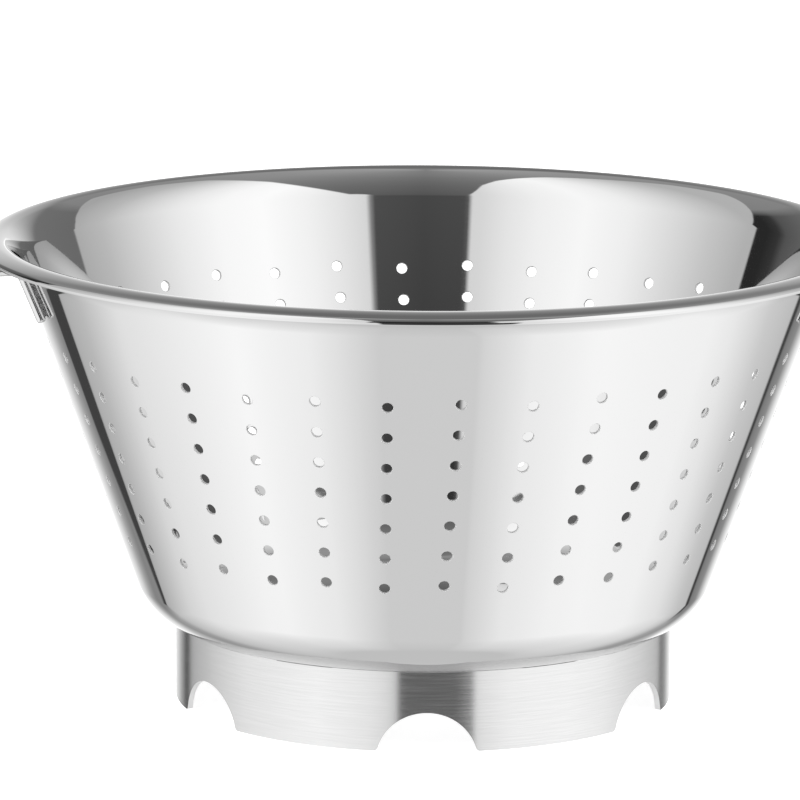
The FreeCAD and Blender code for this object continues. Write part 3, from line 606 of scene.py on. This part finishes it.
def makeWorld():
    world = bpy.data.worlds.new("studio")
    scene.world = world
    world.use_nodes = True
    tree = world.node_tree
    tree.nodes.clear()
    way = addNode(tree, "ShaderNodeTexCoord").outputs["Generated"]
    turned = addNode(tree, "ShaderNodeMapping", {"Vector": way, "Rotation": (0, 0, -studio["turn"])})
    parts = addNode(tree, "ShaderNodeSeparateXYZ", {"Vector": turned}).outputs
    right, back, up = parts["X"], parts["Y"], parts["Z"]
    down = addNode(tree, "ShaderNodeMath", {0: up, 1: -1}, operation="MULTIPLY")
    front = addNode(tree, "ShaderNodeMath", {0: back, 1: -1}, operation="MULTIPLY")
    aside = addNode(tree, "ShaderNodeMath", {0: right}, operation="ABSOLUTE")
    level = addNode(tree, "ShaderNodeCombineXYZ", {"X": front, "Y": aside})
    angle = addNode(tree, "ShaderNodeTexGradient", {"Vector": level}, gradient_type="RADIAL").outputs["Fac"]

    def before(first, second, soft):  # 1 where the first is the smaller, with a soft change
        ahead = addNode(tree, "ShaderNodeMath", {0: second, 1: first}, operation="SUBTRACT")
        return addNode(tree, "ShaderNodeMapRange", {"Value": ahead, "From Min": -soft, "From Max": soft})

    onRight = before(0, right, studio["sideSoft"])

    def around(key):  # a list read by the angle
        stops = [(onScale(degrees), mark) for degrees, mark in studio[key]]
        return addNode(tree, "ShaderNodeValToRGB", {"Fac": angle}, stops)

    def bySide(key):  # the left list on the left, the right one on the right
        lists = {"A": around(key + "Left"), "B": around(key + "Right")}
        return addNode(tree, "ShaderNodeMix", {"Factor": onRight, **lists})

    def atHeight(key, sine):
        return addNode(tree, "ShaderNodeValToRGB", {"Fac": sine}, studio[key])

    def edge(key, sine):  # an edge's angle at each height
        stops = [(mark, onScale(degrees)) for mark, degrees in studio[key]]
        return addNode(tree, "ShaderNodeValToRGB", {"Fac": sine}, stops)

    # the banks
    top = addNode(tree, "ShaderNodeMath", {0: bySide("top"), 1: aside}, operation="MULTIPLY")
    ends = {"A": edge("endLeft", up), "B": edge("endRight", up)}
    end = addNode(tree, "ShaderNodeMix", {"Factor": onRight, **ends})
    under, within = before(up, top, studio["topSoft"]), before(angle, end, studio["endSoft"])
    inEdges = addNode(tree, "ShaderNodeMath", {0: under, 1: within}, operation="MULTIPLY")
    inBank = addNode(tree, "ShaderNodeMath", {0: inEdges, 1: bySide("gap")}, operation="MULTIPLY")

    # the room above the table
    plain, sides = atHeight("ceiling", up), around("ceilingSides")
    ceiling = addNode(tree, "ShaderNodeMath", {0: plain, 1: sides}, operation="ADD")
    high = before(studio["ceilingStart"], up, studio["ceilingSoft"])
    walls = addNode(tree, "ShaderNodeMix", {"Factor": high, "A": bySide("corner"), "B": ceiling})
    backdrop = atHeight("backdrop", up)
    room = addNode(tree, "ShaderNodeMix", {"Factor": around("behind"), "A": walls, "B": backdrop})
    above = addNode(tree, "ShaderNodeMix", {"Factor": inBank, "A": room, "B": bySide("bank")})

    # the table
    # painted shadow: a dark wedge on the left of the mirrored table, standing in for the bowl's shadow on the
    # table
    pastStart = before(onScale(studio["paintedShadowStart"]), angle, studio["endSoft"])
    toEnd = before(angle, edge("paintedShadowEnd", down), studio["endSoft"])
    paintedShadow = addNode(tree, "ShaderNodeMath", {0: pastStart, 1: toEnd}, operation="MULTIPLY")
    onLeft = addNode(tree, "ShaderNodeMath", {0: 1, 1: onRight}, operation="SUBTRACT")
    inPaintedShadow = addNode(tree, "ShaderNodeMath", {0: paintedShadow, 1: onLeft}, operation="MULTIPLY")
    far = addNode(tree, "ShaderNodeMix", {"Factor": inPaintedShadow, "A": bySide("far"), "B": studio["paintedShadow"]})
    farOff = before(down, studio["nearStart"], studio["nearSoft"])
    table = addNode(tree, "ShaderNodeMix", {"Factor": farOff, "A": bySide("near"), "B": far})
    mirroring = atHeight("nearFade", down)
    below = addNode(tree, "ShaderNodeMix", {"Factor": mirroring, "A": studio["underfoot"], "B": table})

    # mirrors see the room, the camera sees white and matt things get an even light
    overTable = before(studio["horizon"], up, studio["horizonSoft"])
    seen = addNode(tree, "ShaderNodeMix", {"Factor": overTable, "A": below, "B": above})
    path = addNode(tree, "ShaderNodeLightPath").outputs
    paper = linearColour("#ffffff")
    mirrored = addNode(tree, "ShaderNodeBackground", {"Color": seen})
    even = addNode(tree, "ShaderNodeBackground", {"Color": paper, "Strength": studio["even"]})
    white = addNode(tree, "ShaderNodeBackground", {"Color": paper})
    light = addNode(tree, "ShaderNodeMixShader", {0: path["Is Glossy Ray"], 1: even, 2: mirrored})
    shown = addNode(tree, "ShaderNodeMixShader", {0: path["Is Camera Ray"], 1: light, 2: white})
    addNode(tree, "ShaderNodeOutputWorld", {"Surface": shown})


paperFloor = {"colour": "#dcdcdc", "glow": 0.76, "size": 12000 * mm}


def makeFloor():  # white paper that takes the shadow; mirrored rays and views from below pass through it
    material, tree = newMaterial("paleStudioFloor")
    path = addNode(tree, "ShaderNodeLightPath").outputs
    paper = addNode(tree, "ShaderNodeBsdfDiffuse", {"Color": linearColour(paperFloor["colour"])})
    glow = addNode(tree, "ShaderNodeEmission", {"Strength": paperFloor["glow"]})
    lit = addNode(tree, "ShaderNodeAddShader", {0: paper, 1: glow})
    shown = addNode(tree, "ShaderNodeMixShader", {0: path["Is Camera Ray"], 1: paper, 2: lit})
    below = addNode(tree, "ShaderNodeNewGeometry").outputs["Backfacing"]
    passing = addNode(tree, "ShaderNodeMath", {0: below, 1: path["Is Glossy Ray"]}, operation="MAXIMUM")
    clear = addNode(tree, "ShaderNodeBsdfTransparent")
    both = addNode(tree, "ShaderNodeMixShader", {0: passing, 1: shown, 2: clear})
    addNode(tree, "ShaderNodeOutputMaterial", {"Surface": both})
    bm = bmesh.new()
    bmesh.ops.create_grid(bm, x_segments=1, y_segments=1, size=paperFloor["size"])
    floor = meshPiece("studioFloor", bm, material)


softLamps = {
    "turn": math.radians(62), "away": 1500 * mm, "height": 1300 * mm, "size": 1200 * mm, "power": 42,
}


def makeLamps():
    for side in (-1, 1):
        turn = side * softLamps["turn"]
        lamp = bpy.data.lights.new("softLamp", "AREA")
        lamp.shape = "SQUARE"
        lamp.size = softLamps["size"]
        lamp.energy = softLamps["power"]
        away = softLamps["away"]
        place = Vector((math.sin(turn) * away, -math.cos(turn) * away, softLamps["height"]))
        holder = bpy.data.objects.new("softLamp", lamp)
        holder.matrix_world = Matrix.Translation(place) @ place.to_track_quat("Z", "Y").to_matrix().to_4x4()
        holder.visible_glossy = False
        scene.collection.objects.link(holder)


viewpoint = {
    "place": Vector((0, -2145.4, 529.0)) * mm, "turn": 0.0039, "down": math.radians(11.251),
    "roll": math.radians(0.304), "sight": 30000 * mm, "lens": 288.14, "sensor": 36,
}


def makeCamera():
    data = bpy.data.cameras.new("camera")
    data.lens = viewpoint["lens"]
    data.sensor_width = viewpoint["sensor"]
    data.clip_end = viewpoint["sight"]
    camera = bpy.data.objects.new("camera", data)
    turn = Matrix.Rotation(viewpoint["turn"], 4, "Z")
    tilt = Matrix.Rotation(math.pi / 2 - viewpoint["down"], 4, "X")
    roll = Matrix.Rotation(viewpoint["roll"], 4, "Z")
    camera.matrix_world = Matrix.Translation(viewpoint["place"]) @ turn @ tilt @ roll
    scene.collection.objects.link(camera)
    scene.camera = camera


makeWorld()
makeFloor()
makeLamps()
makeCamera()
scene.view_settings.view_transform = "Standard"
print("studio set")
